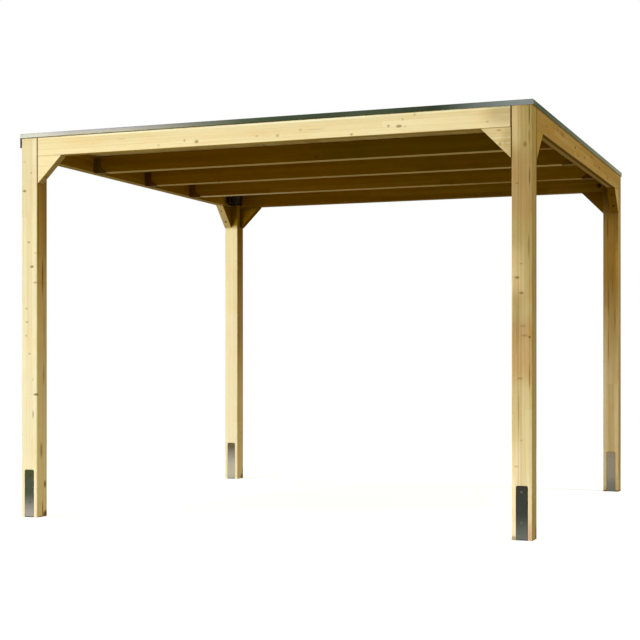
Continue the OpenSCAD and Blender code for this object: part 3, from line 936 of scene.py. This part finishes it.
def make_coatings():
    """Everything but the timber."""
    # Each anchor's colours differ: painted reflections, set plate by plate.
    anchors = {
        "front_left": (rgb(38, 37, 17), rgb(38, 42, 31), rgb(99, 95, 89), (-0.02, 0.17)),
        "front_right": (rgb(50, 44, 36), rgb(48, 51, 44), rgb(88, 91, 83), (-0.02, 0.17)),
        "back_left": (rgb(54, 46, 26), rgb(62, 57, 46), rgb(108, 104, 90), (0.08, 0.29)),
        "back_right": (rgb(115, 102, 82), rgb(117, 109, 91), rgb(91, 91, 82), (0.03, 0.13)),
    }
    for name, (top, high, low, reach) in anchors.items():
        dress("anchor_" + name, anchor_steel("anchor_" + name, top, high, low, reach))
    # Each hanger's coat is a different brown: painted shade, darker where less light falls on it.
    hangers = {
        "front_left": (rgb(92, 72, 10), rgb(118, 92, 18)),
        "middle_left": (rgb(86, 56, 6), rgb(114, 76, 12)),
        "back_left": (rgb(96, 62, 6), rgb(124, 84, 12)),
        "front_right": (rgb(124, 88, 6), rgb(144, 104, 10)),
        "middle_right": (rgb(104, 80, 6), rgb(122, 94, 10)),
        "back_right": (rgb(86, 58, 8), rgb(104, 74, 10)),
    }
    for name, (dark, light) in hangers.items():
        dress("hanger_" + name, hanger_steel("hanger_" + name, dark, light))
    trim = trim_metal()
    for side in SIDES:
        dress("trim_" + side, trim)
    dress("roof_sheet", roof_rubber())
    dress("rain_outlet", gloss_plastic())


# ---- Small pieces ----

def mesh_of(form, name):
    """The mesh of a finished bmesh."""
    mesh = bpy.data.meshes.new(name)
    form.to_mesh(mesh)
    form.free()
    return mesh


def placed(name, data):
    """A new object in the scene."""
    thing = bpy.data.objects.new(name, data)
    bpy.context.scene.collection.objects.link(thing)
    return thing


def settle(form, name, material):
    """Makes a finished bmesh an object that rides on the part."""
    bmesh.ops.remove_doubles(form, verts=form.verts, dist=1e-6)
    bmesh.ops.recalc_face_normals(form, faces=form.faces)
    mesh = mesh_of(form, name)
    mesh.materials.append(material)
    piece = placed(name, mesh)
    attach(piece, "root")


def facing(place, outward):
    """The transform that stands a piece made along +Z on a face."""
    turn = Vector((0, 0, 1)).rotation_difference(Vector(outward)).to_matrix().to_4x4()
    return Matrix.Translation(Vector(place)) @ turn


def raised_disc(form, sides, radius, height, edge, steps):
    """A low disc or hexagon on Z = 0 with its top edge rounded, in an empty form."""
    made = bmesh.ops.create_circle(form, cap_ends=True, segments=sides, radius=radius)
    face = made["verts"][0].link_faces[0]
    lifted = bmesh.ops.extrude_face_region(form, geom=[face])
    top = [item for item in lifted["geom"] if isinstance(item, bmesh.types.BMVert)]
    bmesh.ops.translate(form, verts=top, vec=(0, 0, height))
    rim = [line for line in form.edges if all(vert in top for vert in line.verts)]
    bmesh.ops.bevel(form, geom=rim, offset=edge, offset_type="OFFSET", segments=steps,
                    profile=0.5, affect="EDGES", material=-1)


def sink_drive(form):
    """Sinks the middle of a head's top, where a driver fits in."""
    top = max(form.faces, key=lambda face: face.calc_center_median().z)
    bmesh.ops.inset_region(form, faces=[top], thickness=DRIVE_EDGE, use_even_offset=True)
    sunk = bmesh.ops.extrude_face_region(form, geom=[top])
    floor = [item for item in sunk["geom"] if isinstance(item, bmesh.types.BMVert)]
    bmesh.ops.translate(form, verts=floor, vec=(0, 0, -DRIVE_DEPTH))
    bmesh.ops.delete(form, geom=[top], context="FACES_KEEP_BOUNDARY")


def stamp(target, kind, place, outward, spin=0.0):
    """Builds one head of a kind and sets it on a face of a bigger form."""
    form = bmesh.new()
    raised_disc(form, *kind)
    if kind is SCREW_HEAD:
        sink_drive(form)
    turn = Matrix.Rotation(spin, 4, "Z")
    bmesh.ops.transform(form, matrix=facing(place, outward) @ turn, verts=form.verts)
    copy = mesh_of(form, "part")
    target.from_mesh(copy)
    bpy.data.meshes.remove(copy)


def make_anchor_bolts():
    """Two bolts through each anchor: a low round head in front, washer, nut and thread behind."""
    for name in ("front_left", "front_right", "back_left", "back_right"):
        low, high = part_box("anchor_" + name)
        middle = (low.x + high.x) / 2
        form = bmesh.new()
        for height in (BOLT_LOW, high.z - BOLT_TOP):
            spin = math.radians(chance.uniform(0, 60))
            stamp(form, ROUND_HEAD, (middle, low.y, height), (0, -1, 0))
            stamp(form, WASHER, (middle, high.y, height), (0, 1, 0))
            stamp(form, HEX_HEAD, (middle, high.y + WASHER[2], height), (0, 1, 0), spin)
            stamp(form, BOLT_END, (middle, high.y, height), (0, 1, 0))
        steel = nodes["anchor_" + name].data.materials[0]
        if name == "front_right":
            steel = anchor_steel("bolts_" + name, rgb(68, 66, 60), rgb(68, 71, 65), rgb(100, 102, 96),
                                 (-0.02, 0.17))
        settle(form, "anchor_bolts_" + name, steel)


def make_knee_screws():
    """A round-headed screw at the bottom of each sunk hole, one to the post and one to the beam."""
    steel = screw_steel()
    for name in nodes:
        if not name.startswith("knee_"):
            continue
        low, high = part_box(name)
        middle = (low + high) / 2
        along = along_of(name)
        away = 1 if middle[along] < 0 else -1
        post_side = low[along] if away > 0 else high[along]
        leg = high.z - low.z
        to_post, to_beam = middle.copy(), middle.copy()
        to_post[along] = post_side + away * SCREW_WOOD
        to_post.z = high.z - (leg - SCREW_IN)
        to_beam[along] = post_side + away * (leg - SCREW_IN)
        to_beam.z = high.z - SCREW_WOOD
        outward = Vector((0, 0, 0))
        outward[along] = away
        form = bmesh.new()
        stamp(form, SCREW_HEAD, to_post, outward)
        stamp(form, SCREW_HEAD, to_beam, (0, 0, -1))
        settle(form, name + "_screws", steel)


def make_hanger_nails():
    """Nails through the hangers' flanges into the beams and through their cheeks."""
    steel = fixing_steel()
    for row in ("front", "middle", "back"):
        for side, out in (("left", 1), ("right", -1)):
            low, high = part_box(f"hanger_{row}_{side}")
            tall = high.z - low.z
            flange = low.x + HANGER_SHEET if out > 0 else high.x - HANGER_SHEET
            form = bmesh.new()
            for share in FLANGE_HEIGHTS:
                for y in (low.y + FLANGE_NAIL, high.y - FLANGE_NAIL):
                    stamp(form, NAIL_HEAD, (flange, y, low.z + share * tall), (out, 0, 0))
            for off, share in CHEEK_NAILS:
                for face, y in ((-1, low.y + CHEEK_IN), (1, high.y - CHEEK_IN)):
                    stamp(form, NAIL_HEAD, (flange + out * off, y, low.z + share * tall), (0, face, 0))
            settle(form, f"hanger_nails_{row}_{side}", steel)


def make_trim_nails():
    """Flat nails through the trims' flanges, evenly spaced clear of the mitred corners."""
    steel = nodes["trim_front"].data.materials[0]
    for side in SIDES:
        low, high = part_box("trim_" + side)
        along = along_of("trim_" + side)
        across = X + Y - along
        start, end = low[along] + TRIM_CLEAR, high[along] - TRIM_CLEAR
        count = round((end - start) / TRIM_PITCH)
        place = (low + high) / 2
        place[across] = high[across] - TRIM_NAIL
        if side in ("back", "right"):
            place[across] = low[across] + TRIM_NAIL
        place.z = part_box("roof_sheet")[1].z + TRIM_SHEET
        form = bmesh.new()
        for number in range(count + 1):
            place[along] = start + number * (end - start) / count
            stamp(form, NAIL_HEAD, place, (0, 0, 1))
        settle(form, "trim_nails_" + side, steel)


def slab(form, low, high, edge):
    """A block between two corners with its edges rounded."""
    made = bmesh.ops.create_cube(form, size=1.0)
    size = Vector(high) - Vector(low)
    middle = (Vector(high) + Vector(low)) / 2
    for vert in made["verts"]:
        vert.co = Vector(vert.co[axis] * size[axis] + middle[axis] for axis in (X, Y, Z))
    edges = list({line for vert in made["verts"] for line in vert.link_edges})
    bmesh.ops.bevel(form, geom=edges, offset=edge, offset_type="OFFSET", segments=2, profile=0.5,
                    affect="EDGES", material=-1)


def make_roof_laps():
    """The two laps where three widths of roof sheet are glued over each other."""
    low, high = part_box("roof_sheet")
    rubber = nodes["roof_sheet"].data.materials[0]
    form = bmesh.new()
    for share in (1 / 3, 2 / 3):
        x = low.x + share * (high.x - low.x)
        slab(form, (x - LAP_HALF, low.y + LAP_CLEAR, high.z - LAP_SUNK),
             (x + LAP_HALF, high.y - LAP_CLEAR, high.z + LAP_THICK), LAP_SUNK)
    settle(form, "roof_laps", rubber)


def make_outlet_grate():
    """A ring with bars across it, which keeps leaves out of the rain outlet's neck."""
    low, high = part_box("rain_outlet")
    middle = (low + high) / 2
    top = high.z - GRATE_SUNK
    section = [(-7, -4), (-7, -1), (-6, 0), (-1, 0), (0, -1), (0, -4)]
    form = bmesh.new()
    ring = [form.verts.new((middle.x + GRATE_RADIUS + out * MM, middle.y, top + up * MM))
            for out, up in section]
    edges = [form.edges.new((ring[number - 1], ring[number])) for number in range(len(ring))]
    bmesh.ops.spin(form, geom=ring + edges, cent=(middle.x, middle.y, 0), axis=(0, 0, 1),
                   angle=2 * math.pi, steps=48, use_merge=True)
    for number in range(GRATE_BARS):
        off = (number - GRATE_BARS // 2) * GRATE_PITCH
        half = math.sqrt((GRATE_RADIUS - GRATE_RIM) ** 2 - off ** 2)
        x = middle.x + off
        slab(form, (x - BAR_HALF, middle.y - half, top - BAR_LOW),
             (x + BAR_HALF, middle.y + half, top - BAR_HIGH), BAR_EDGE)
    settle(form, "outlet_grate", nodes["rain_outlet"].data.materials[0])


# ---- Studio ----

def make_camera():
    """A level camera, shifted up a little."""
    data = bpy.data.cameras.new("camera")
    data.lens = CAMERA_LENS
    data.sensor_width = CAMERA_WIDTH
    data.shift_y = CAMERA_RISE
    data.clip_end = CAMERA_REACH
    camera = placed("camera", data)
    camera.location = CAMERA_PLACE
    camera.rotation_euler = (math.pi / 2, 0, CAMERA_TURN)
    bpy.context.scene.camera = camera


def make_lamp(name, place, aim, width, height, watts, colour=(1, 1, 1)):
    """A soft panel that shines from a place towards an aim and doesn't show itself."""
    data = bpy.data.lights.new(name, "AREA")
    data.shape = "RECTANGLE"
    data.size = width
    data.size_y = height
    data.energy = watts
    data.color = colour
    lamp = placed(name, data)
    lamp.location = place
    lamp.rotation_euler = (Vector(aim) - Vector(place)).to_track_quat("-Z", "Y").to_euler()
    lamp.visible_camera = False


def seen(sheet):
    """1 where the camera, a reflection or clear material looks, 0 where light bounces."""
    rays = sheet.add("LightPath")
    straight = Field(rays.outputs["Is Camera Ray"]).most(Field(rays.outputs["Is Glossy Ray"]))
    return straight.most(Field(rays.outputs["Is Transmission Ray"]))


def make_world():
    """A dim warm room to light the part, and plain white behind it."""
    world = bpy.data.worlds.new("studio")
    bpy.context.scene.world = world
    world.use_nodes = True
    sheet = Sheet(world.node_tree)
    sheet.tree.nodes.clear()
    room = sheet.add("Background", None, {"Color": (1.0, 0.96, 0.86, 1.0), "Strength": 0.34})
    white = sheet.add("Background", None, {"Color": (1.0, 1.0, 1.0, 1.0), "Strength": 1.0})
    chosen = sheet.add("MixShader", None, {0: seen(sheet), 1: room.outputs[0], 2: white.outputs[0]})
    sheet.add("OutputWorld", None, {"Surface": chosen.outputs[0]})


def make_floor():
    """A plain pale floor that fades into the white behind it."""
    form = bmesh.new()
    bmesh.ops.create_circle(form, cap_ends=True, segments=96, radius=FLOOR_RADIUS)
    mesh = mesh_of(form, "floor")
    floor = placed("floor", mesh)
    finish = Finish("floor")
    x, y, z = finish.axes()
    far = (x * x + y * y).root()
    plain = finish.add("BsdfDiffuse", None, {"Color": (0.45, 0.385, 0.215, 1.0)})
    near = finish.add("BsdfDiffuse", None, {"Color": (0.86, 0.90, 0.98, 1.0)})
    glow = finish.add("Emission", None, {"Color": (1, 1, 1, 1), "Strength": 0.56})
    white = finish.add("Emission", None, {"Color": (1, 1, 1, 1), "Strength": 1.0})
    bright = finish.add("AddShader", None, {0: near.outputs[0], 1: glow.outputs[0]})
    shown = finish.add("MixShader", None, {
        0: far.rise(FLOOR_CLEAR, FLOOR_WHITE), 1: bright.outputs[0], 2: white.outputs[0]})
    chosen = finish.add("MixShader", None, {0: seen(finish), 1: plain.outputs[0], 2: shown.outputs[0]})
    finish.put(finish.tree.nodes["Material Output"].inputs["Surface"], chosen.outputs[0])
    finish.tree.nodes.remove(finish.shader)
    mesh.materials.append(finish.material)


def make_studio():
    make_camera()
    make_world()
    make_floor()
    make_lamp("key", (-17.4, -19.3, 3.4), (0, 0, 1.2), 14.0, 2.0, 5930)
    make_lamp("side", (26.0, 0.0, 11.0), (0, 0, 1.0), 10.0, 18.0, 4900, (0.92, 0.86, 0.58))
    make_lamp("top", (-0.5, -1.0, 8.0), (0, 0, 0), 7.0, 7.0, 160)
    bpy.context.scene.view_settings.view_transform = "Standard"


make_studio()
make_posts()
make_beams()
make_rafters()
make_knees()
make_roof_boards()
make_coatings()
make_anchor_bolts()
make_knee_screws()
make_hanger_nails()
make_trim_nails()
make_roof_laps()
make_outlet_grate()
